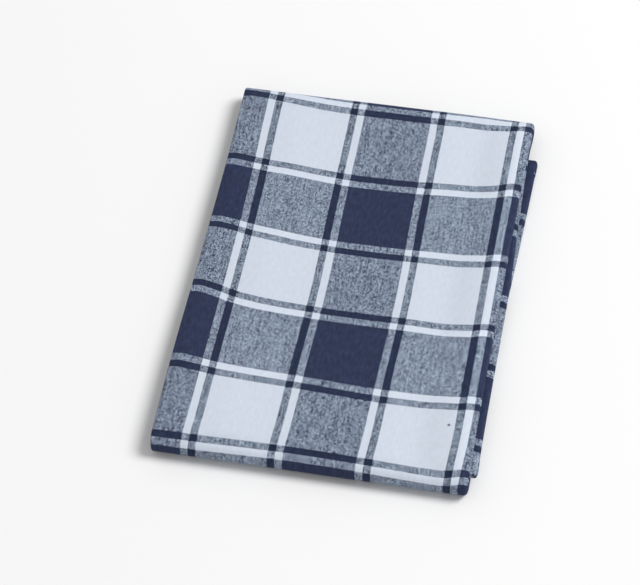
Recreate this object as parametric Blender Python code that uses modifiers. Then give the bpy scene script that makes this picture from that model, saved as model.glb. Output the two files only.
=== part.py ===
"""A hemmed cotton tea towel, folded flat.

The cloth is one rectangle of about 48 by 69 cm. It is folded in thirds across its width, which makes
a strip of three plies, and the strip is then folded in thirds along its length: the upper flap goes under
the front first, and the lower flap under both. The pile lies on its lower flap, with its front up.
Metres, +Z up, +Y along the front's height; the origin is on the surface that the towel rests on, under
the middle of its box.
"""

import math
from collections import namedtuple

import bmesh
import bpy

# Driving sizes, in metres
SHEET = 0.0010          # thickness of one ply
PITCH = 0.00145         # from one ply's middle to the next where the pile is flattest
STRIP_WIDTH = 0.1613    # between the middles of the two side folds
FRONT_LENGTH = 0.2278   # between the middles of the two end folds
SIDE_HEM_GAP = 0.005    # the outer thirds end this far short of the side fold that they run towards
UPPER_HEM_GAP = 0.005   # the upper flap ends this far short of the lower end fold's middle
LOWER_HEM_GAP = 0.0175  # the lower flap ends this far short of the upper end fold's middle

# How the flaps stray from the front. A flap slips sideways over its reach, counted from its fold.
UPPER_SLIP, UPPER_REACH = 0.0036, 0.125
LOWER_SLIP, LOWER_REACH = 0.0052, 0.208
LEFT_THIRD_STRAY = -0.0021  # at a flap's free end the left third stands back by this much
RIGHT_THIRD_STRAY = 0.0016  # and the right third stands out by this much
STRAY_REACH = 0.012         # within this distance of the free end

# How the pile swells at its folds and sinks between them
RIM_LOFT = 1.10         # the plies stand this much further apart at the folds
SINK_FROM_LOWER = 0.095 # the front sinks over this length from the lower end fold
SINK_FROM_UPPER = 0.050 # and over this length from the upper one
SINK_SHARPNESS = 2.5    # how late the front rises towards the side folds
SHOULDER = 0.005        # the front rounds over within this distance of its outline
SHOULDER_DROP = 0.09    # and loses this share of its height there
SETTLE_SHARE = 0.97     # how nearly the upper end fold reaches the surface past the lower flap's hem

# How the outline strays from a rectangle
SIDE_WANDER = 0.0013    # the left side bows by this much either way
SIDE_WAVE = 0.350       # the wave's length
SIDE_STILL = 0.106      # where the left side doesn't stray, from the lower end fold
RIGHT_FLARE = 0.0009    # the right side spreads by this much from its middle to its ends
FLARE_SHARPNESS = 4     # how late it spreads towards the ends
FLARE_IN = 0.3          # the share of the spread by which its middle stands in
CORNER_PULL = 0.0005    # corners draw in by this much
CORNER_SPREAD = 0.0035  # over about this distance from the end
CORNER_SHARPNESS = 8    # how late they draw in towards the side folds

# Slow ripples in the loft, fainter where the front has sunk
Ripple = namedtuple("Ripple", "size waves_across waves_along phase")
RIPPLES = (
    Ripple(0.022, 0.9, 1.6, 0.4),
    Ripple(0.014, 1.7, 0.7, 2.1),
    Ripple(0.010, 2.3, 2.6, 4.0),
)
SUNK_CALM = 0.6         # the share of the ripples that is lost where the front lies lowest

# A fold path is a row of straight runs, joined by half turns. The level counts plies down from the
# front's. A run that faces down holds the strip's plies in the opposite order.
Run = namedtuple("Run", "name level faces start end slip reach")
ACROSS = (
    Run("left_third", 1, 1, STRIP_WIDTH - SIDE_HEM_GAP, 0.0, 0.0, 1.0),
    Run("middle_third", 0, 1, 0.0, STRIP_WIDTH, 0.0, 1.0),
    Run("right_third", 2, 1, STRIP_WIDTH, SIDE_HEM_GAP, 0.0, 1.0),
)
ALONG = (
    Run("lower_flap", 8, -1, FRONT_LENGTH - LOWER_HEM_GAP, 0.0, LOWER_SLIP, LOWER_REACH),
    Run("front", 0, 1, 0.0, FRONT_LENGTH, 0.0, 1.0),
    Run("upper_flap", 5, -1, FRONT_LENGTH, UPPER_HEM_GAP, UPPER_SLIP, UPPER_REACH),
)
BOTTOM_LEVEL = 8        # the lower flap's outer ply, which lies on the surface
UPPER_LEVEL = 5         # the lowest ply past the lower flap's hem

# Faces round each turn, and along the plain parts between the lines that the swelling needs
TURN_STEPS_ACROSS, TURN_STEPS_ALONG = 4, 6
PLAIN_STEPS_ACROSS = 6
PLAIN_STEPS_SINKING, PLAIN_STEPS_SUNK, PLAIN_STEPS_RISING, PLAIN_STEPS_SETTLING = 4, 3, 3, 3
ROUNDING = (0.0, SHOULDER / 2, SHOULDER)
PLAIN_START = 3 * SHOULDER


def ease(share):
    """Runs smoothly from 0 to 1 as the share does."""
    held = min(max(share, 0.0), 1.0)
    return held * held * (3 - 2 * held)


def turn_length(first, second):
    """Cloth used by the half turn between two runs, measured on the strip's outer ply."""
    return math.pi * PITCH * abs(first.level - second.level) / 2


def path_length(path):
    """Cloth used by a whole fold path."""
    runs = sum(abs(run.end - run.start) for run in path)
    return runs + sum(turn_length(first, second) for first, second in zip(path, path[1:]))


CLOTH_WIDTH, CLOTH_LENGTH = path_length(ACROSS), path_length(ALONG)


def spread(first, last, steps):
    """Even places from just past the first to the last."""
    return [first + (last - first) * step / steps for step in range(1, steps + 1)]


def places_across():
    """Places between the side folds where every ply has a line, so that the plies' faces match."""
    far = [STRIP_WIDTH - place for place in reversed(ROUNDING)]
    plain = spread(PLAIN_START, STRIP_WIDTH - PLAIN_START, PLAIN_STEPS_ACROSS)
    return [*ROUNDING, PLAIN_START, *plain, *far]


def places_along():
    """The same between the end folds, closer where the front sinks and where the upper fold settles."""
    far = [FRONT_LENGTH - place for place in reversed(ROUNDING)]
    hem = FRONT_LENGTH - LOWER_HEM_GAP
    return [
        *ROUNDING,
        *spread(SHOULDER, SINK_FROM_LOWER, PLAIN_STEPS_SINKING),
        *spread(SINK_FROM_LOWER, FRONT_LENGTH - SINK_FROM_UPPER, PLAIN_STEPS_SUNK),
        *spread(FRONT_LENGTH - SINK_FROM_UPPER, hem, PLAIN_STEPS_RISING),
        *spread(hem, far[0], PLAIN_STEPS_SETTLING),
        *far[1:],
    ]


def stations(path, places, turn_steps):
    """Distances along the cloth at which the grid has its lines."""
    lines = [0.0]
    for index, run in enumerate(path):
        start = lines[-1]
        low, high = sorted((run.start, run.end))
        inside = [place for place in places if low < place < high]
        lines += sorted(start + abs(place - run.start) for place in (*inside, run.end))
        if index + 1 < len(path):
            lines += spread(lines[-1], lines[-1] + turn_length(run, path[index + 1]), turn_steps)
    return lines


def follow(path, distance, ply):
    """Place on the path's axis, level below the front, and sideways slip, at a distance along the cloth."""
    for index, run in enumerate(path):
        way = math.copysign(1.0, run.end - run.start)
        length = abs(run.end - run.start)
        last = index + 1 == len(path)
        if distance <= length or last:
            place = run.start + way * distance
            fold = run.end if index == 0 else run.start
            slip = run.slip * ease(abs(place - fold) / run.reach)
            return place, run.level + run.faces * ply, slip
        distance -= length
        following = path[index + 1]
        turn = turn_length(run, following)
        if distance <= turn:
            angle = math.pi * distance / turn
            first = run.level + run.faces * ply
            second = following.level + following.faces * ply
            radius = PITCH * abs(first - second) / 2
            level = (first + second) / 2 + (first - second) / 2 * math.cos(angle)
            return run.end + way * radius * math.sin(angle), level, 0.0
        distance -= turn
    raise ValueError("the path has no runs")


def stray(x, ply, to_hem):
    """How far a point near a flap's free end lies past it: the thirds' ends don't quite meet."""
    left = LEFT_THIRD_STRAY * ease(1 - abs(ply - 1)) * ease(x / STRIP_WIDTH)
    right = RIGHT_THIRD_STRAY * ease(ply - 1) * ease(1 - x / STRIP_WIDTH)
    return (left + right) * ease(1 - to_hem / STRAY_REACH)


def loft(x, y):
    """How much further apart the plies stand here than where the pile is flattest."""
    aside = min(abs(2 * x / STRIP_WIDTH - 1), 1.0)
    sunk = 1 - aside ** SINK_SHARPNESS
    sunk *= ease(y / SINK_FROM_LOWER) * ease((FRONT_LENGTH - y) / SINK_FROM_UPPER)
    ripple = 0.0
    for wave in RIPPLES:
        waves = wave.waves_across * x / STRIP_WIDTH + wave.waves_along * y / FRONT_LENGTH
        ripple += wave.size * math.sin(2 * math.pi * waves + wave.phase)
    inside = min(x, STRIP_WIDTH - x, y, FRONT_LENGTH - y)
    shoulder = 1 - SHOULDER_DROP * ease(1 - inside / SHOULDER)
    return (RIM_LOFT - (RIM_LOFT - 1) * sunk + ripple * (1 - SUNK_CALM * sunk)) * shoulder


def height(x, y, level):
    """Height of a ply's middle over the surface."""
    hem = FRONT_LENGTH - LOWER_HEM_GAP + RIGHT_THIRD_STRAY
    settled = SETTLE_SHARE * ease((y - hem) / (FRONT_LENGTH - hem))
    lowered = level * (1 + settled * (BOTTOM_LEVEL / UPPER_LEVEL - 1))
    return SHEET / 2 + PITCH * (BOTTOM_LEVEL - lowered) * loft(x, y)


def outline(x, y):
    """How far the pile's outline strays sideways at this place, shared by all the plies."""
    to_right = x / STRIP_WIDTH
    aside = 2 * to_right - 1
    lengthwise = 2 * y / FRONT_LENGTH - 1
    wander = SIDE_WANDER * (1 - to_right) * math.sin(2 * math.pi * (y - SIDE_STILL) / SIDE_WAVE)
    flare = RIGHT_FLARE * to_right * (lengthwise ** FLARE_SHARPNESS - FLARE_IN)
    to_end = max(min(y, FRONT_LENGTH - y) + PITCH * BOTTOM_LEVEL / 2, 0.0)
    pull = CORNER_PULL * math.exp(-((to_end / CORNER_SPREAD) ** 2)) * min(abs(aside), 1.0) ** CORNER_SHARPNESS
    return wander + flare - math.copysign(pull, aside)


def folded(across, along):
    """Where a point of the flat cloth lies in the folded towel."""
    x, ply, _ = follow(ACROSS, across, 0.0)
    y, level, slip = follow(ALONG, along, ply)
    y += stray(x, ply, along) - stray(x, ply, CLOTH_LENGTH - along)
    x += slip
    return x + outline(x, y), y, height(x, y, level)


def cloth_material():
    """Plain cotton in the mean colour of the navy and white check."""
    material = bpy.data.materials.new("check_cotton")
    material.use_nodes = True
    shader = material.node_tree.nodes["Principled BSDF"]
    shader.inputs["Base Color"].default_value = (0.22, 0.26, 0.36, 1.0)
    shader.inputs["Roughness"].default_value = 0.92
    shader.inputs["Metallic"].default_value = 0.0
    return material


def make_cloth(collection):
    """The whole towel: a grid moved onto its folds and given its thickness."""
    across_lines = stations(ACROSS, places_across(), TURN_STEPS_ACROSS)
    along_lines = stations(ALONG, places_along(), TURN_STEPS_ALONG)
    columns, rows = len(across_lines) - 1, len(along_lines) - 1
    sheet = bmesh.new()
    bmesh.ops.create_grid(sheet, x_segments=columns, y_segments=rows, size=0.5)
    for vertex in sheet.verts:
        column = round((vertex.co.x + 0.5) * columns)
        row = round((vertex.co.y + 0.5) * rows)
        vertex.co = folded(across_lines[column], along_lines[row])
    mesh = bpy.data.meshes.new("towel_cloth")
    sheet.to_mesh(mesh)
    sheet.free()
    mesh.shade_smooth()
    mesh.materials.append(cloth_material())
    cloth = bpy.data.objects.new("towel_cloth", mesh)
    collection.objects.link(cloth)
    body = cloth.modifiers.new("thickness", "SOLIDIFY")
    body.thickness = SHEET
    body.offset = 0.0
    body.use_even_offset = True
    return cloth


def centre_over_origin(cloth):
    """Puts the middle of the cloth's box over the origin, and leaves its height as it is."""
    bpy.context.view_layer.update()
    solid = cloth.evaluated_get(bpy.context.evaluated_depsgraph_get())
    for axis in (0, 1):
        places = [corner[axis] for corner in solid.bound_box]
        cloth.location[axis] = -(min(places) + max(places)) / 2


def main():
    for existing in list(bpy.data.objects):
        bpy.data.objects.remove(existing, do_unlink=True)
    collection = bpy.data.collections.new("folded_tea_towel")
    bpy.context.scene.collection.children.link(collection)
    centre_over_origin(make_cloth(collection))


main()
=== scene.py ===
"""A folded check tea towel: its woven cloth, the stitches of its hems, and a plain pale studio.

The cloth is one rectangle. It is folded in thirds across its width and then in thirds along its length, on
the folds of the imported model's solid. Metres, +Z up, +Y along the front's height.
"""

import math
from collections import namedtuple

import bpy
from bpy.props import FloatProperty, FloatVectorProperty, IntProperty, PointerProperty
from mathutils import Euler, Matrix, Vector


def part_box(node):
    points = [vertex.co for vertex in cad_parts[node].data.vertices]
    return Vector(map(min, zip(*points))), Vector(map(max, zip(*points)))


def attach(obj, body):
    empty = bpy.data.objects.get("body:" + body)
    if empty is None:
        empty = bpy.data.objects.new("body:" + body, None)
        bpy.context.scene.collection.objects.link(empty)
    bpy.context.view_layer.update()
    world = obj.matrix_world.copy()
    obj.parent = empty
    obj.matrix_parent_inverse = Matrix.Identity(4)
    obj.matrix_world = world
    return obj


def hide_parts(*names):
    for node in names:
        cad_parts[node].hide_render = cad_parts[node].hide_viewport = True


bl_info = {
    "name": "Folded check tea towel",
    "version": (1, 0, 0),
    "blender": (4, 5, 0),
    "location": "View3D > Sidebar > Tea towel",
    "description": "Makes a folded tea towel of woven check cotton, its hem stitches and a plain studio",
    "category": "Add Mesh",
}

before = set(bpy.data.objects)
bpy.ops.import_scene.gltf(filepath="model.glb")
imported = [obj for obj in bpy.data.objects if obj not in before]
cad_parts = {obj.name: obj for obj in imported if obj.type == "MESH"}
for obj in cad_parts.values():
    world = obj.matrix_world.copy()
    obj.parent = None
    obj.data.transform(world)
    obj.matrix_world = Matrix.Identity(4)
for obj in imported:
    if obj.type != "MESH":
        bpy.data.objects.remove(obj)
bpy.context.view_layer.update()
SOLID = "towel_cloth"
BODY = "root"
UV_NAME = "threads"

# The folds, as on the solid, in metres
SHEET = 0.0010          # thickness of one ply of the solid
PITCH = 0.00145         # from one ply's middle to the next where the pile is flattest
STRIP_WIDTH = 0.1613    # between the middles of the two side folds
FRONT_LENGTH = 0.2278   # between the middles of the two end folds
SIDE_HEM_GAP = 0.005    # the outer thirds end this far short of the side fold that they run towards
UPPER_HEM_GAP = 0.005   # the upper flap ends this far short of the lower end fold's middle
LOWER_HEM_GAP = 0.0175  # the lower flap ends this far short of the upper end fold's middle

# How the flaps stray from the front. A flap slips sideways over its reach, counted from its fold.
UPPER_SLIP, UPPER_REACH = 0.0036, 0.125
LOWER_SLIP, LOWER_REACH = 0.0052, 0.208
LEFT_THIRD_STRAY = -0.0021  # at a flap's free end the left third stands back by this much
RIGHT_THIRD_STRAY = 0.0016  # and the right third stands out by this much
STRAY_REACH = 0.012         # within this distance of the free end

# How the pile swells at its folds and sinks between them
RIM_LOFT = 1.10         # the plies stand this much further apart at the folds
SINK_FROM_LOWER = 0.095 # the front sinks over this length from the lower end fold
SINK_FROM_UPPER = 0.050 # and over this length from the upper one
SINK_SHARPNESS = 2.5    # how late the front rises towards the side folds
SHOULDER = 0.005        # the front rounds over within this distance of its outline
SHOULDER_DROP = 0.09    # and loses this share of its height there
SETTLE_SHARE = 0.97     # how nearly the upper end fold reaches the surface past the lower flap's hem

# How the outline strays from a rectangle
SIDE_WANDER = 0.0013    # the left side bows by this much either way
SIDE_WAVE = 0.350       # the wave's length
SIDE_STILL = 0.106      # where the left side doesn't stray, from the lower end fold
RIGHT_FLARE = 0.0009    # the right side spreads by this much from its middle to its ends
FLARE_SHARPNESS = 4     # how late it spreads towards the ends
FLARE_IN = 0.3          # the share of the spread by which its middle stands in
CORNER_PULL = 0.0005    # corners draw in by this much
CORNER_SPREAD = 0.0035  # over about this distance from the end
CORNER_SHARPNESS = 8    # how late they draw in towards the side folds

# Slow ripples in the loft, fainter where the front has sunk
Ripple = namedtuple("Ripple", "size waves_across waves_along phase")
RIPPLES = (
    Ripple(0.022, 0.9, 1.6, 0.4),
    Ripple(0.014, 1.7, 0.7, 2.1),
    Ripple(0.010, 2.3, 2.6, 4.0),
)
SUNK_CALM = 0.6         # the share of the ripples that is lost where the front lies lowest

# A fold path is a row of straight runs, joined by half turns. The level counts plies down from the
# front's. A run that faces down holds the strip's plies in the opposite order.
Run = namedtuple("Run", "name level faces start end slip reach")
ACROSS = (
    Run("left_third", 1, 1, STRIP_WIDTH - SIDE_HEM_GAP, 0.0, 0.0, 1.0),
    Run("middle_third", 0, 1, 0.0, STRIP_WIDTH, 0.0, 1.0),
    Run("right_third", 2, 1, STRIP_WIDTH, SIDE_HEM_GAP, 0.0, 1.0),
)
ALONG = (
    Run("lower_flap", 8, -1, FRONT_LENGTH - LOWER_HEM_GAP, 0.0, LOWER_SLIP, LOWER_REACH),
    Run("front", 0, 1, 0.0, FRONT_LENGTH, 0.0, 1.0),
    Run("upper_flap", 5, -1, FRONT_LENGTH, UPPER_HEM_GAP, UPPER_SLIP, UPPER_REACH),
)
BOTTOM_LEVEL = 8        # the lower flap's outer ply, which lies on the surface
UPPER_LEVEL = 5         # the lowest ply past the lower flap's hem

# Soft creases: where each starts and ends, how far it lies to the left and right of its line, its height
Crease = namedtuple("Crease", "name start end left right rise")
CREASES = (
    Crease("right_trough", (0.136, 0.010), (0.137, 0.214), 0.014, 0.007, -0.0012),
    Crease("right_ridge", (0.154, 0.010), (0.154, 0.216), 0.009, 0.007, 0.0003),
    Crease("left_ridge", (0.032, 0.020), (0.031, 0.222), 0.005, 0.014, 0.0004),
)
CREASE_FADE = 0.030     # length over which a crease dies away past its ends
HELD_LEVEL = 5          # creases are gone this many plies down

# The grid's steps within a shoulder, between the shoulders, and round each turn
SHOULDER_STEPS = 4
PLAIN_STEPS_ACROSS, PLAIN_STEPS_ALONG = 34, 62
TURN_STEPS_ACROSS, TURN_STEPS_ALONG = 10, 16
HEM_STEP = 0.0004       # half the width in which a hem thins to a plain ply

# A stitch is a bar with pointed ends
STITCH_SINK = 0.0001    # how deep the stitches lie in the hem's face
BAR_SHARE = 0.7         # the share of a stitch's length that its bar takes
BAR_DIP = 0.15          # the share of its thickness by which the bar is lowered
TWIST_SCALE = 900.0     # how closely the sewing thread's twist repeats

# The check. Its repeat is counted in threads, and starts here from the middle of the left side fold
# and of the lower end fold.
Stripe = namedtuple("Stripe", "threads navy thin")
REPEAT_ACROSS, REPEAT_ALONG = 0.0910, 0.0898
START_ACROSS, START_ALONG = 0.0157, -0.0062

# Places where the weave is pulled out of line: by how much, where, and how far around. They are on the
# front laid flat, whose corner is where the left side fold meets the lower end fold.
Pull = namedtuple("Pull", "size x y wide long")
WEFT_PULLS = (
    Pull(-0.0066, 0.000, 0.097, 0.0225, 0.055),
    Pull(-0.0056, 0.000, 0.236, 0.034, 0.028),
    Pull(-0.0013, 0.000, 0.186, 0.014, 0.018),
    Pull(-0.0026, 0.161, 0.115, 0.007, 0.400),
    Pull(-0.0030, 0.161, 0.195, 0.016, 0.030),
    Pull(0.0025, 0.088, 0.145, 0.048, 0.075),
    Pull(0.0008, 0.063, 0.155, 0.020, 0.040),
    Pull(0.0018, 0.110, 0.036, 0.034, 0.022),
    Pull(0.0011, 0.160, 0.038, 0.014, 0.022),
    Pull(-0.0020, 0.080, -0.006, 0.055, 0.016),
    Pull(-0.0020, 0.090, 0.228, 0.078, 0.018),
    Pull(-0.0013, 0.134, 0.187, 0.017, 0.048),
    Pull(0.0018, 0.161, 0.390, 0.040, 0.022),
)
WARP_PULLS = (
    Pull(0.0019, 0.008, 0.222, 0.028, 0.060),
    Pull(0.0014, 0.160, 0.222, 0.022, 0.045),
    Pull(0.0006, 0.108, 0.228, 0.040, 0.012),
    Pull(-0.0019, 0.090, 0.098, 0.048, 0.048),
    Pull(0.0012, 0.157, 0.125, 0.013, 0.070),
    Pull(0.0014, 0.090, -0.006, 0.110, 0.018),
    Pull(0.0009, 0.160, -0.002, 0.012, 0.022),
)

# The rows on the flaps run ahead of the front's: by how much, from how far past the end fold, and within
# what length
Skew = namedtuple("Skew", "size start reach")
UPPER_FLAP_SKEWS = (Skew(0.0061, 0.0, 0.036), Skew(-0.0034, 0.067, 0.080))
LOWER_FLAP_SKEWS = (Skew(0.0073, 0.0, 0.120),)

# Slubs are a yarn's thick places: how unlike neighbouring yarns are, how fast the slubs change from thread
# to thread along a yarn, how strong they are, and the layer of noise that they are read from
Slub = namedtuple("Slub", "unlike along strength layer")
LONG_SLUB = Slub(7.31, 0.04, 6.0, 0.0)
SHORT_SLUB = Slub(5.17, 0.20, 5.0, 5.0)
WARP_OFFSET, WEFT_OFFSET = 3.1, 9.7     # they keep the warp's slubs unlike the weft's
WEFT_SLUB_SHARE = 0.35                  # how much the weft's slubs count beside the warp's

# Unevenness over both yarns: how fast it changes across and along the warp, its layer and its detail
Patch = namedtuple("Patch", "across along layer detail")
GRAIN = Patch(1.0, 0.15, 2.0, 1.0)      # which yarn lies on top
DEPTH = Patch(0.30, 0.12, 8.0, 2.0)     # how deep the colours are
CROWN_SHARPNESS = 1.8                   # how sharply the upper yarn gives way to the lower at a crossing

# Specks of dark fibre spun into the yarn, in threads from the check's start
Fleck = namedtuple("Fleck", "warp weft radius")
FLECKS = (Fleck(266.6, 72.2, 1.6), Fleck(77.0, 355.3, 1.4))
FLECK_STRENGTH = 0.8                    # how fully a speck hides the yarn

# The studio
AIM = Vector((-0.01601, -0.01088, 0.009))   # the point that the camera looks at
FLOOR_HEIGHT = -0.0003                      # just under the lowest hem
KEY_PLACE = (2.6, 0.9, 3.5)                 # the soft light stands here
KEY_WIDTH = 2.2                             # and is this wide


class TowelCloth(bpy.types.PropertyGroup):
    """Sizes of the cloth itself, which its folds don't set."""

    ply: FloatProperty(
        name="Ply", description="Thickness of one ply of cloth", default=0.0008, subtype="DISTANCE")
    hem: FloatProperty(
        name="Hem", description="Thickness of the hem, which is turned over twice", default=0.0012,
        subtype="DISTANCE")
    hem_width: FloatProperty(
        name="Hem width", description="Width of the hem along all four edges", default=0.009,
        subtype="DISTANCE")
    rounding: FloatProperty(
        name="Edge rounding", description="Radius of the hem's outer edges", default=0.0004,
        subtype="DISTANCE")


class TowelWeave(bpy.types.PropertyGroup):
    """The check and its yarns."""

    wide_threads: IntProperty(
        name="Wide stripe", description="Threads in a wide stripe", default=75)
    thin_threads: IntProperty(
        name="Thin stripe", description="Threads in a thin stripe", default=8)
    white: FloatVectorProperty(
        name="White", description="Colour of the white yarn", default=(0.630, 0.688, 0.782),
        subtype="COLOR", size=3, min=0.0, max=1.0)
    thin_white: FloatVectorProperty(
        name="Thin white", description="Colour of the white yarn in thin stripes",
        default=(0.687, 0.745, 0.850), subtype="COLOR", size=3, min=0.0, max=1.0)
    navy: FloatVectorProperty(
        name="Navy", description="Colour of the navy yarn", default=(0.030, 0.040, 0.086),
        subtype="COLOR", size=3, min=0.0, max=1.0)
    thin_navy: FloatVectorProperty(
        name="Thin navy", description="Colour of the navy yarn in thin stripes",
        default=(0.018, 0.026, 0.056), subtype="COLOR", size=3, min=0.0, max=1.0)
    # Painted shade: this darkens the colour wherever navy and white yarns cross, standing in for the shadow
    # between the yarns
    painted_crossing_shade: FloatVectorProperty(
        name="Mixed shade", description="What is left of the light where navy and white yarns cross",
        default=(0.625, 0.69, 0.755), subtype="COLOR", size=3, min=0.0, max=1.0)
    warp_lead: FloatProperty(
        name="Warp lead", description="How far the warp covers the weft, from 0, evenly, to 1",
        default=0.12)
    slub: FloatProperty(
        name="Slub", description="How unevenly the yarns are spun", default=0.46)
    speckle: FloatProperty(
        name="Speckle", description="How unevenly single crossings lie", default=2.3)
    grain: FloatProperty(
        name="Grain", description="How unevenly small groups of crossings lie", default=1.3)
    mottle: FloatProperty(
        name="Mottle", description="How unevenly the white yarn took its bleach", default=0.16)
    navy_mottle: FloatProperty(
        name="Navy mottle", description="How unevenly the navy yarn took its dye", default=0.8)
    fleck: FloatVectorProperty(
        name="Fleck", description="Colour of stray dark fibre", default=(0.10, 0.08, 0.10),
        subtype="COLOR", size=3, min=0.0, max=1.0)
    relief: FloatProperty(
        name="Relief", description="Height of the yarns' crowns", default=0.00012, subtype="DISTANCE")


class TowelStitches(bpy.types.PropertyGroup):
    """The hem's stitches."""

    length: FloatProperty(
        name="Length", description="Length of one stitch", default=0.0024, subtype="DISTANCE")
    spacing: FloatProperty(
        name="Spacing", description="From one stitch to the next", default=0.0028, subtype="DISTANCE")
    thickness: FloatProperty(
        name="Thickness", description="Thickness of the sewing thread", default=0.00035,
        subtype="DISTANCE")
    inset: FloatProperty(
        name="Inset", description="From the cloth's edge to the stitches", default=0.008,
        subtype="DISTANCE")
    colour: FloatVectorProperty(
        name="Colour", description="Colour of the sewing thread", default=(0.60, 0.65, 0.75),
        subtype="COLOR", size=3, min=0.0, max=1.0)


class TowelStage(bpy.types.PropertyGroup):
    """The floor, the lights and the camera."""

    floor_size: FloatProperty(
        name="Floor", description="Side of the square floor", default=8.0, subtype="DISTANCE")
    floor_colour: FloatVectorProperty(
        name="Floor colour", description="Colour of the floor", default=(0.92, 0.92, 0.92),
        subtype="COLOR", size=3, min=0.0, max=1.0)
    sky: FloatProperty(
        name="Sky", description="Strength of the even light from all round", default=0.50)
    key_power: FloatProperty(
        name="Key light", description="Power of the soft light from the upper right", default=146.0,
        subtype="POWER")
    lens: FloatProperty(
        name="Lens", description="Focal length of the camera, in millimetres", default=157.5)
    distance: FloatProperty(
        name="Distance", description="From the camera to the point it looks at", default=1.4951,
        subtype="DISTANCE")
    elevation: FloatProperty(
        name="Elevation", description="How far the camera looks down", default=math.radians(55.94),
        subtype="ANGLE")
    heading: FloatProperty(
        name="Heading", description="How far the camera looks to the left of +Y",
        default=math.radians(14.356), subtype="ANGLE")
    roll: FloatProperty(
        name="Roll", description="How far the camera is turned about its own line of sight",
        default=math.radians(-4.273), subtype="ANGLE")


def ease(share):
    """Runs smoothly from 0 to 1 as the share does."""
    held = min(max(share, 0.0), 1.0)
    return held * held * (3 - 2 * held)


def turn_length(first, second):
    """Cloth used by the half turn between two runs, measured on the strip's outer ply."""
    return math.pi * PITCH * abs(first.level - second.level) / 2


def path_length(path):
    """Cloth used by a whole fold path."""
    runs = sum(abs(run.end - run.start) for run in path)
    return runs + sum(turn_length(first, second) for first, second in zip(path, path[1:]))


CLOTH_WIDTH, CLOTH_LENGTH = path_length(ACROSS), path_length(ALONG)


def spread(first, last, steps):
    """Even places from just past the first to the last."""
    return [first + (last - first) * step / steps for step in range(1, steps + 1)]


def places_between(length, plain_steps):
    """Places between two folds where every ply has a line, closer near the folds."""
    near = [0.0, *spread(0.0, SHOULDER, SHOULDER_STEPS)]
    plain = spread(SHOULDER, length - SHOULDER, plain_steps)
    return [*near, *plain, *(length - place for place in reversed(near[:-1]))]


def stations(path, places, turn_steps, hem_width):
    """Distances along the cloth at which the grid has its lines, with two more at each hem's inner edge."""
    lines = [0.0]
    for index, run in enumerate(path):
        start = lines[-1]
        low, high = sorted((run.start, run.end))
        inside = [place for place in places if low < place < high]
        lines += sorted(start + abs(place - run.start) for place in (*inside, run.end))
        if index + 1 < len(path):
            lines += spread(lines[-1], lines[-1] + turn_length(run, path[index + 1]), turn_steps)
    total = lines[-1]
    steps = [hem_width + side for side in (-HEM_STEP, HEM_STEP)]
    hems = [*steps, *(total - step for step in steps)]
    clear = [line for line in lines if all(abs(line - hem) > HEM_STEP for hem in hems)]
    return sorted(clear + hems)


def follow(path, distance, ply):
    """Place on the path's axis, level below the front, and sideways slip, at a distance along the cloth."""
    for index, run in enumerate(path):
        way = math.copysign(1.0, run.end - run.start)
        length = abs(run.end - run.start)
        last = index + 1 == len(path)
        if distance <= length or last:
            place = run.start + way * distance
            fold = run.end if index == 0 else run.start
            slip = run.slip * ease(abs(place - fold) / run.reach)
            return place, run.level + run.faces * ply, slip
        distance -= length
        following = path[index + 1]
        turn = turn_length(run, following)
        if distance <= turn:
            angle = math.pi * distance / turn
            first = run.level + run.faces * ply
            second = following.level + following.faces * ply
            radius = PITCH * abs(first - second) / 2
            level = (first + second) / 2 + (first - second) / 2 * math.cos(angle)
            return run.end + way * radius * math.sin(angle), level, 0.0
        distance -= turn
    raise ValueError("the path has no runs")


def stray(x, ply, to_hem):
    """How far a point near a flap's free end lies past it: the thirds' ends don't quite meet."""
    left = LEFT_THIRD_STRAY * ease(1 - abs(ply - 1)) * ease(x / STRIP_WIDTH)
    right = RIGHT_THIRD_STRAY * ease(ply - 1) * ease(1 - x / STRIP_WIDTH)
    return (left + right) * ease(1 - to_hem / STRAY_REACH)


def loft(x, y):
    """How much further apart the plies stand here than where the pile is flattest."""
    aside = min(abs(2 * x / STRIP_WIDTH - 1), 1.0)
    sunk = 1 - aside ** SINK_SHARPNESS
    sunk *= ease(y / SINK_FROM_LOWER) * ease((FRONT_LENGTH - y) / SINK_FROM_UPPER)
    ripple = 0.0
    for wave in RIPPLES:
        waves = wave.waves_across * x / STRIP_WIDTH + wave.waves_along * y / FRONT_LENGTH
        ripple += wave.size * math.sin(2 * math.pi * waves + wave.phase)
    inside = min(x, STRIP_WIDTH - x, y, FRONT_LENGTH - y)
    shoulder = 1 - SHOULDER_DROP * ease(1 - inside / SHOULDER)
    return (RIM_LOFT - (RIM_LOFT - 1) * sunk + ripple * (1 - SUNK_CALM * sunk)) * shoulder


def crease_height(x, y):
    """How far the creases lift or lower the front here."""
    total = 0.0
    for crease in CREASES:
        share = (y - crease.start[1]) / (crease.end[1] - crease.start[1])
        held = min(max(share, 0.0), 1.0)
        line = crease.start[0] + (crease.end[0] - crease.start[0]) * held
        side = crease.left if x < line else crease.right
        past = abs(share - held) * (crease.end[1] - crease.start[1])
        total += crease.rise * math.exp(-((x - line) / side) ** 2 - (past / CREASE_FADE) ** 2)
    inside = min(x, STRIP_WIDTH - x, y, FRONT_LENGTH - y)
    return total * ease(inside / SHOULDER)


def height(x, y, level):
    """Height of a ply's middle over the surface."""
    hem = FRONT_LENGTH - LOWER_HEM_GAP + RIGHT_THIRD_STRAY
    settled = SETTLE_SHARE * ease((y - hem) / (FRONT_LENGTH - hem))
    lowered = level * (1 + settled * (BOTTOM_LEVEL / UPPER_LEVEL - 1))
    shared = crease_height(x, y) * ease(1 - level / HELD_LEVEL)
    return SHEET / 2 + PITCH * (BOTTOM_LEVEL - lowered) * loft(x, y) + shared


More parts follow.
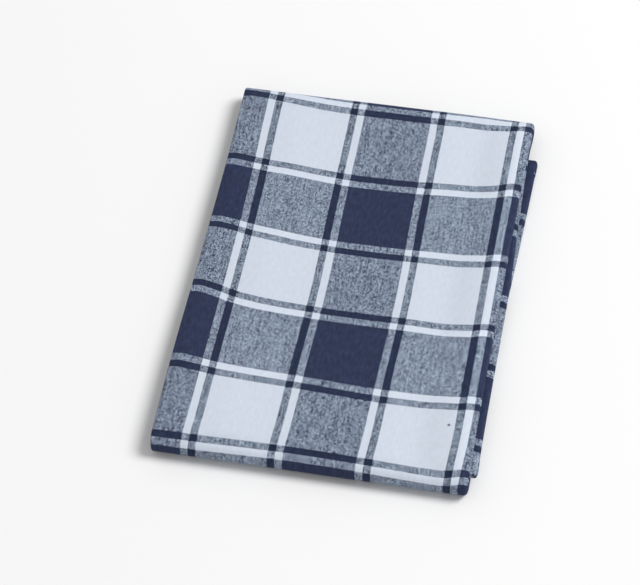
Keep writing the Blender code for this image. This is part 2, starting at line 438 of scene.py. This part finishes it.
def outline(x, y):
    """How far the pile's outline strays sideways at this place, shared by all the plies."""
    to_right = x / STRIP_WIDTH
    aside = 2 * to_right - 1
    lengthwise = 2 * y / FRONT_LENGTH - 1
    wander = SIDE_WANDER * (1 - to_right) * math.sin(2 * math.pi * (y - SIDE_STILL) / SIDE_WAVE)
    flare = RIGHT_FLARE * to_right * (lengthwise ** FLARE_SHARPNESS - FLARE_IN)
    to_end = max(min(y, FRONT_LENGTH - y) + PITCH * BOTTOM_LEVEL / 2, 0.0)
    near_end = math.exp(-((to_end / CORNER_SPREAD) ** 2))
    pull = CORNER_PULL * near_end * min(abs(aside), 1.0) ** CORNER_SHARPNESS
    return wander + flare - math.copysign(pull, aside)


def folded(across, along):
    """Where a point of the flat cloth lies in the folded towel."""
    x, ply, _ = follow(ACROSS, across, 0.0)
    y, level, slip = follow(ALONG, along, ply)
    y += stray(x, ply, along) - stray(x, ply, CLOTH_LENGTH - along)
    x += slip
    return Vector((x + outline(x, y), y, height(x, y, level)))


def run_start(path, name):
    """Distance along the cloth at which a run starts."""
    distance = 0.0
    for run, following in zip(path, path[1:]):
        if run.name == name:
            break
        distance += abs(run.end - run.start) + turn_length(run, following)
    return distance


def pulled(pulls, x, y):
    """How far the weave is pulled at this place."""
    total = 0.0
    for pull in pulls:
        total += pull.size * math.exp(-((x - pull.x) / pull.wide) ** 2 - ((y - pull.y) / pull.long) ** 2)
    return total


def skewed(skews, past_fold):
    """How far a flap's rows run ahead at this distance past its end fold."""
    return sum(skew.size * ease((past_fold - skew.start) / skew.reach) for skew in skews)


def threads(across, along, repeat):
    """Threads counted across and along from the check's start, at a point of the flat cloth."""
    u = across - run_start(ACROSS, "middle_third")
    v = along - run_start(ALONG, "front")
    skew = skewed(UPPER_FLAP_SKEWS, v - FRONT_LENGTH) + skewed(LOWER_FLAP_SKEWS, -v)
    pulled_u = u - START_ACROSS + pulled(WARP_PULLS, u, v)
    pulled_v = v - START_ALONG + pulled(WEFT_PULLS, u, v) + skew
    return pulled_u * repeat / REPEAT_ACROSS, pulled_v * repeat / REPEAT_ALONG


def deselect_all():
    """Leaves nothing selected, so that an operator acts on the new piece alone."""
    bpy.ops.object.select_all(action="DESELECT")


def apply_modifiers(piece):
    """Turns a piece's modifiers into its mesh."""
    deselect_all()
    piece.select_set(True)
    bpy.context.view_layer.objects.active = piece
    for modifier in list(piece.modifiers):
        bpy.ops.object.modifier_apply(modifier=modifier.name)


class Wire:
    """A socket in a material's nodes. Sums and products of wires add Math nodes."""

    def __init__(self, finish, socket):
        self.finish = finish
        self.socket = socket

    def math(self, operation, *others):
        return self.finish.node("ShaderNodeMath", {"operation": operation}, [self, *others])

    def __add__(self, other):
        return self.math("ADD", other)

    __radd__ = __add__

    def __mul__(self, other):
        return self.math("MULTIPLY", other)

    __rmul__ = __mul__

    def __sub__(self, other):
        return self.math("SUBTRACT", other)

    def __rsub__(self, other):
        return self.finish.node("ShaderNodeMath", {"operation": "SUBTRACT"}, [other, self])

    def __abs__(self):
        return self.math("ABSOLUTE")

    def __mod__(self, other):
        return self.math("FLOORED_MODULO", other)

    def __gt__(self, other):
        return self.math("GREATER_THAN", other)

    def __lt__(self, other):
        return self.math("LESS_THAN", other)

    def floor(self):
        return self.math("FLOOR")

    def sine(self):
        return self.math("SINE")

    def clamped(self):
        return self.math("MAXIMUM", 0.0).math("MINIMUM", 1.0)


class Finish:
    """A material and the nodes that colour it."""

    def __init__(self, name):
        self.material = bpy.data.materials.new(name)
        self.material.use_nodes = True
        self.tree = self.material.node_tree
        self.shader = self.tree.nodes["Principled BSDF"]

    def node(self, kind, settings, values, output=0):
        """A node with its settings, and values or wires in its sockets; returns a wire from an output."""
        made = self.tree.nodes.new(kind)
        for name, setting in settings.items():
            setattr(made, name, setting)
        pairs = values.items() if isinstance(values, dict) else enumerate(values)
        for place, value in pairs:
            if isinstance(value, Wire):
                self.tree.links.new(value.socket, made.inputs[place])
            else:
                made.inputs[place].default_value = value
        return Wire(self, made.outputs[output])

    def mix(self, factor, first, second):
        """A colour between two colours. They go into a Mix node's sockets 6 and 7, which hold colours."""
        sockets = {0: factor, 6: rgba(first), 7: rgba(second)}
        return self.node("ShaderNodeMix", {"data_type": "RGBA"}, sockets, output=2)

    def vector(self, x, y, z):
        return self.node("ShaderNodeCombineXYZ", {}, [x, y, z])

    def noise(self, place, scale, detail=0.0):
        """Smooth noise about 0, mostly within a half either way."""
        values = {"Vector": place, "Scale": scale, "Detail": detail, "Roughness": 0.5}
        return self.node("ShaderNodeTexNoise", {}, values) - 0.5

    def plain(self, **values):
        """Sets the shader's own sockets."""
        for name, value in values.items():
            self.shader.inputs[name.replace("_", " ")].default_value = value

    def feed(self, socket, wire):
        self.tree.links.new(wire.socket, self.shader.inputs[socket])


def rgba(colour):
    """A colour with its alpha, or the wire that carries one."""
    return colour if isinstance(colour, Wire) else (*colour, 1.0)


def check_stripes(weave):
    """One repeat of the check, from its start."""
    wide, thin = weave.wide_threads, weave.thin_threads
    return (
        Stripe(thin, False, True),
        Stripe(thin, True, True),
        Stripe(wide, False, False),
        Stripe(thin, True, True),
        Stripe(thin, False, True),
        Stripe(wide, True, False),
    )


def repeat_threads(weave):
    """Threads in one repeat of the check."""
    return sum(stripe.threads for stripe in check_stripes(weave))


def stripe_masks(count, weave):
    """Whether the thread under a count is navy, and whether it is in a thin stripe."""
    place = (count.floor() + 0.5) % repeat_threads(weave)
    navy, thin = 0.0, 0.0
    start = 0
    for stripe in check_stripes(weave):
        end = start + stripe.threads
        within = (place > start) * (place < end)
        navy = navy + within if stripe.navy else navy
        thin = thin + within if stripe.thin else thin
        start = end
    return navy, thin


def yarn_colour(finish, weave, navy, thin):
    """The colour of a thread."""
    white = finish.mix(thin, weave.white, weave.thin_white)
    dark = finish.mix(thin, weave.navy, weave.thin_navy)
    return finish.mix(navy, white, dark)


def slubs(finish, weave, thread, way, offset):
    """How much thicker or thinner a yarn is here: long slubs and short ones."""
    own = thread.floor()
    long_place = finish.vector(own * LONG_SLUB.unlike + offset, way * LONG_SLUB.along, LONG_SLUB.layer)
    short_place = finish.vector(own * SHORT_SLUB.unlike, way * SHORT_SLUB.along + offset, SHORT_SLUB.layer)
    long_slubs = finish.noise(long_place, 1.0, 1.0) * LONG_SLUB.strength
    short_slubs = finish.noise(short_place, 1.0, 1.0) * SHORT_SLUB.strength
    return (long_slubs + short_slubs) * weave.slub


def patches(finish, patch, warp, weft):
    """Unevenness of one kind, over both yarns."""
    place = finish.vector(warp * patch.across, weft * patch.along, patch.layer)
    return finish.noise(place, 1.0, patch.detail)


def flecks(warp, weft):
    """Where a speck of dark fibre was spun in."""
    found = 0.0
    for fleck in FLECKS:
        aside, ahead = warp - fleck.warp, weft - fleck.weft
        found = (aside * aside + ahead * ahead < fleck.radius ** 2) + found
    return found


def cotton(weave):
    """Plain-woven check cotton. Its UV map counts threads."""
    finish = Finish("check_cotton")
    place = finish.node("ShaderNodeUVMap", {"uv_map": UV_NAME}, [])
    warp = finish.node("ShaderNodeSeparateXYZ", {}, [place], output="X")
    weft = finish.node("ShaderNodeSeparateXYZ", {}, [place], output="Y")
    warp_navy, warp_thin = stripe_masks(warp, weave)
    weft_navy, weft_thin = stripe_masks(weft, weave)

    # The warp lies on top at every other crossing, more or less of it as the yarns swell and shift
    crossing = (warp * math.pi).sine() * (weft * math.pi).sine()
    warp_slubs = slubs(finish, weave, warp, weft, WARP_OFFSET)
    uneven = warp_slubs - slubs(finish, weave, weft, warp, WEFT_OFFSET) * WEFT_SLUB_SHARE
    cell = finish.vector(warp.floor(), weft.floor(), 0.0)
    speckle = finish.node("ShaderNodeTexWhiteNoise", {}, {"Vector": cell}) - 0.5
    grain = patches(finish, GRAIN, warp, weft) * weave.grain
    lead = weave.warp_lead + 0.5
    on_top = (crossing * CROWN_SHARPNESS + speckle * weave.speckle + grain + uneven + lead).clamped()

    # Only the weft has the brighter thin white
    warp_yarn = yarn_colour(finish, weave, warp_navy, warp_thin * warp_navy)
    weft_yarn = yarn_colour(finish, weave, weft_navy, weft_thin)
    shown = finish.mix(on_top, weft_yarn, warp_yarn)
    # Painted shade: where a navy yarn crosses a white one the colour is darkened, standing in for the
    # shadow between the yarns
    mixed = abs(warp_navy - weft_navy)
    painted_crossing_shade = finish.mix(mixed, (1.0, 1.0, 1.0), weave.painted_crossing_shade)
    mottle = warp_navy * weft_navy * weave.navy_mottle + weave.mottle
    depth = patches(finish, DEPTH, warp, weft) * mottle + 1.0
    # The painted shade at the crossings, times the yarns' random depth of colour
    light = finish.node("ShaderNodeVectorMath", {"operation": "SCALE"}, {0: painted_crossing_shade, "Scale": depth})
    colour = finish.node("ShaderNodeVectorMath", {"operation": "MULTIPLY"}, [shown, light])
    finish.feed("Base Color", finish.mix(flecks(warp, weft) * FLECK_STRENGTH, colour, weave.fleck))

    # The crowns of the yarns are a little smoother and stand up
    crowns = abs(crossing)
    finish.feed("Roughness", crowns * -0.06 + 0.94)
    bump = finish.node(
        "ShaderNodeBump", {}, {"Strength": 0.6, "Distance": weave.relief, "Height": crowns + uneven * 0.3})
    finish.feed("Normal", bump)
    finish.plain(Sheen_Weight=0.02, Sheen_Roughness=0.6, Specular_IOR_Level=0.08)
    return finish.material


def sewing_thread(stitches):
    """Twisted sewing thread."""
    finish = Finish("sewing_thread")
    place = finish.node("ShaderNodeTexCoord", {}, [], output="Object")
    twist = finish.node(
        "ShaderNodeTexWave", {"bands_direction": "DIAGONAL"}, {"Vector": place, "Scale": TWIST_SCALE})
    finish.feed("Base Color", finish.mix(twist * 0.35, stitches.colour, (0.42, 0.46, 0.55)))
    finish.plain(Roughness=0.75)
    return finish.material


def pale_floor(stage):
    """Matt pale paper, a little mottled."""
    finish = Finish("pale_floor")
    place = finish.node("ShaderNodeTexCoord", {}, [], output="Object")
    mottle = finish.noise(place, 6.0) * 0.02 + 0.5
    low = tuple(part * 0.99 for part in stage.floor_colour)
    finish.feed("Base Color", finish.mix(mottle, low, stage.floor_colour))
    finish.plain(Roughness=0.95, Specular_IOR_Level=0.1)
    return finish.material


def centring():
    """What moves the folds' own frame onto the solid's box."""
    low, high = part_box(SOLID)
    return (Vector(low) + Vector(high)) / 2


class TOWEL_OT_cloth(bpy.types.Operator):
    """Makes the towel: one grid of cloth on all its folds, with thicker hems"""

    bl_idname = "towel.cloth"
    bl_label = "Cloth"

    def execute(self, context):
        cloth_sizes = context.scene.towel_cloth
        weave = context.scene.towel_weave
        across_lines = stations(
            ACROSS, places_between(STRIP_WIDTH, PLAIN_STEPS_ACROSS), TURN_STEPS_ACROSS,
            cloth_sizes.hem_width)
        along_lines = stations(
            ALONG, places_between(FRONT_LENGTH, PLAIN_STEPS_ALONG), TURN_STEPS_ALONG,
            cloth_sizes.hem_width)
        columns, rows = len(across_lines) - 1, len(along_lines) - 1
        deselect_all()
        bpy.ops.mesh.primitive_grid_add(x_subdivisions=columns, y_subdivisions=rows, size=1.0)
        cloth = context.object
        cloth.name = "check_cloth"
        mesh = cloth.data
        mesh.name = cloth.name
        flat = []
        for vertex in mesh.vertices:
            column = round((vertex.co.x + 0.5) * columns)
            row = round((vertex.co.y + 0.5) * rows)
            flat.append((across_lines[column], along_lines[row]))
        self.lay(mesh, flat)
        self.count_threads(mesh, flat, weave)
        self.thicken(cloth, flat, cloth_sizes)
        mesh.materials.append(cotton(weave))
        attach(cloth, BODY)
        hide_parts(SOLID)
        return {"FINISHED"}

    def lay(self, mesh, flat):
        """Moves the grid onto the folds and over the middle of the solid's box."""
        places = [folded(across, along) for across, along in flat]
        shift = centring()
        for axis in (0, 1):
            low = min(place[axis] for place in places)
            high = max(place[axis] for place in places)
            shift[axis] -= (low + high) / 2
        shift.z = 0.0
        for vertex, place in zip(mesh.vertices, places):
            vertex.co = place + shift
        mesh["shift"] = shift

    def count_threads(self, mesh, flat, weave):
        """Writes the UV map, in threads."""
        layer = mesh.uv_layers.active
        layer.name = UV_NAME
        repeat = repeat_threads(weave)
        counts = [threads(across, along, repeat) for across, along in flat]
        for corner in mesh.loops:
            layer.uv[corner.index].vector = counts[corner.vertex_index]

    def thicken(self, cloth, flat, sizes):
        """Gives the grid its thickness, with rounded hems."""
        hems = cloth.vertex_groups.new(name="hems")
        in_hem = []
        for index, (across, along) in enumerate(flat):
            to_edge = min(across, CLOTH_WIDTH - across, along, CLOTH_LENGTH - along)
            if to_edge < sizes.hem_width:
                in_hem.append(index)
        hems.add(in_hem, 1.0, "REPLACE")
        cloth.data.shade_smooth()
        body = cloth.modifiers.new("thickness", "SOLIDIFY")
        body.thickness = sizes.hem
        body.offset = 0.0
        body.use_even_offset = True
        body.vertex_group = hems.name
        body.thickness_vertex_group = sizes.ply / sizes.hem
        edges = cloth.modifiers.new("rounding", "BEVEL")
        edges.width = sizes.rounding
        edges.segments = 2
        edges.limit_method = "ANGLE"
        edges.angle_limit = math.radians(60)
        apply_modifiers(cloth)


class TOWEL_OT_hem_stitches(bpy.types.Operator):
    """Sews the hems: one line of stitches along each edge, on both faces"""

    bl_idname = "towel.hem_stitches"
    bl_label = "Hem stitches"

    def execute(self, context):
        sizes = context.scene.towel_stitches
        hem = context.scene.towel_cloth.hem
        cloth = bpy.data.objects["check_cloth"]
        shift = Vector(cloth.data["shift"])
        corners, faces = self.one_stitch(sizes)
        all_corners, all_faces = [], []
        for centre, way, out in self.seams(sizes, hem):
            side = out.cross(way).normalized()
            first = len(all_corners)
            for corner in corners:
                all_corners.append(centre + shift + way * corner.x + side * corner.y + out * corner.z)
            all_faces += [[first + index for index in face] for face in faces]
        mesh = bpy.data.meshes.new("hem_stitches")
        mesh.from_pydata(all_corners, [], all_faces)
        mesh.shade_smooth()
        mesh.materials.append(sewing_thread(sizes))
        stitches = bpy.data.objects.new("hem_stitches", mesh)
        context.collection.objects.link(stitches)
        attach(stitches, BODY)
        return {"FINISHED"}

    def one_stitch(self, sizes):
        """One stitch along X: a six-sided bar with pointed ends that dip into the cloth."""
        deselect_all()
        bpy.ops.mesh.primitive_cylinder_add(
            vertices=6, radius=sizes.thickness / 2, depth=sizes.length * BAR_SHARE,
            end_fill_type="TRIFAN", rotation=(0.0, math.pi / 2, 0.0))
        bpy.ops.object.transform_apply(location=True, rotation=True, scale=True)
        bar = bpy.context.object
        for vertex in bar.data.vertices:
            on_axis = math.hypot(vertex.co.y, vertex.co.z) < sizes.thickness / 4
            if on_axis:
                vertex.co.x = math.copysign(sizes.length / 2, vertex.co.x)
                vertex.co.z = -sizes.thickness / 2
            else:
                vertex.co.z -= sizes.thickness * BAR_DIP
        corners = [vertex.co.copy() for vertex in bar.data.vertices]
        faces = [list(face.vertices) for face in bar.data.polygons]
        bpy.data.objects.remove(bar, do_unlink=True)
        return corners, faces

    def seams(self, sizes, hem):
        """Middle, direction and outward direction of every stitch, on both faces of every hem."""
        lines = (
            (CLOTH_WIDTH, lambda s: (s, sizes.inset)),
            (CLOTH_WIDTH, lambda s: (s, CLOTH_LENGTH - sizes.inset)),
            (CLOTH_LENGTH, lambda s: (sizes.inset, s)),
            (CLOTH_LENGTH, lambda s: (CLOTH_WIDTH - sizes.inset, s)),
        )
        half = sizes.length / 2
        for length, at in lines:
            run = length - 2 * sizes.inset
            count = round(run / sizes.spacing)
            for number in range(count):
                middle = sizes.inset + run * (number + 0.5) / count
                start, end = folded(*at(middle - half)), folded(*at(middle + half))
                way = (end - start).normalized()
                u, v = at(middle)
                du = folded(u + half, v) - folded(u - half, v)
                dv = folded(u, v + half) - folded(u, v - half)
                out = du.cross(dv).normalized()
                for face in (1.0, -1.0):
                    yield folded(u, v) + out * face * (hem / 2 - STITCH_SINK), way, out * face


class TOWEL_OT_stage(bpy.types.Operator):
    """Makes the pale floor, the soft lights and the camera"""

    bl_idname = "towel.stage"
    bl_label = "Stage"

    def execute(self, context):
        stage = context.scene.towel_stage
        self.make_floor(stage)
        self.light(context.scene, stage)
        self.place_camera(context.scene, stage)
        return {"FINISHED"}

    def make_floor(self, stage):
        deselect_all()
        bpy.ops.mesh.primitive_plane_add(size=stage.floor_size, location=(0.0, 0.0, FLOOR_HEIGHT))
        floor = bpy.context.object
        floor.name = "floor"
        floor.data.materials.append(pale_floor(stage))

    def light(self, scene, stage):
        world = bpy.data.worlds.new("studio")
        scene.world = world
        world.use_nodes = True
        sky = world.node_tree.nodes["Background"]
        sky.inputs["Color"].default_value = (1.0, 1.0, 1.0, 1.0)
        sky.inputs["Strength"].default_value = stage.sky
        key = bpy.data.lights.new("key", "AREA")
        key.shape = "DISK"
        key.size = KEY_WIDTH
        key.energy = stage.key_power
        lamp = bpy.data.objects.new("key", key)
        lamp.location = KEY_PLACE
        lamp.rotation_euler = (-lamp.location).to_track_quat("-Z", "Y").to_euler()
        scene.collection.objects.link(lamp)
        scene.view_settings.view_transform = "Standard"

    def place_camera(self, scene, stage):
        camera = bpy.data.cameras.new("camera")
        camera.lens = stage.lens
        camera.clip_start = 0.05
        view = bpy.data.objects.new("camera", camera)
        tilt = math.pi / 2 - stage.elevation
        turned = Euler((tilt, 0.0, stage.heading)).to_matrix() @ Euler((0.0, 0.0, stage.roll)).to_matrix()
        view.rotation_euler = turned.to_euler()
        view.location = AIM + turned @ Vector((0.0, 0.0, stage.distance))
        scene.collection.objects.link(view)
        scene.camera = view


class TOWEL_PT_parts(bpy.types.Panel):
    """Lists the towel's pieces and their sizes"""

    bl_idname = "TOWEL_PT_parts"
    bl_label = "Tea towel"
    bl_space_type = "VIEW_3D"
    bl_region_type = "UI"
    bl_category = "Tea towel"

    def draw(self, context):
        for operator, group in PARTS:
            box = self.layout.box()
            box.operator(operator.bl_idname)
            sizes = getattr(context.scene, group)
            for name in sizes.bl_rna.properties.keys():
                if name not in {"rna_type", "name"}:
                    box.prop(sizes, name)


GROUPS = {
    "towel_cloth": TowelCloth,
    "towel_weave": TowelWeave,
    "towel_stitches": TowelStitches,
    "towel_stage": TowelStage,
}
OPERATORS = (TOWEL_OT_cloth, TOWEL_OT_hem_stitches, TOWEL_OT_stage)
PARTS = (
    (TOWEL_OT_cloth, "towel_cloth"),
    (TOWEL_OT_cloth, "towel_weave"),
    (TOWEL_OT_hem_stitches, "towel_stitches"),
    (TOWEL_OT_stage, "towel_stage"),
)
CLASSES = (*GROUPS.values(), *OPERATORS, TOWEL_PT_parts)


def register():
    """Adds the classes, and their sizes to the scene."""
    for made in CLASSES:
        bpy.utils.register_class(made)
    for name, group in GROUPS.items():
        setattr(bpy.types.Scene, name, PointerProperty(type=group))


def unregister():
    """Takes out what register adds."""
    for name in GROUPS:
        delattr(bpy.types.Scene, name)
    for made in reversed(CLASSES):
        bpy.utils.unregister_class(made)


def main():
    """Makes every piece and the stage."""
    register()
    bpy.ops.towel.cloth()
    bpy.ops.towel.hem_stitches()
    bpy.ops.towel.stage()


if __name__ == "__main__":
    main()
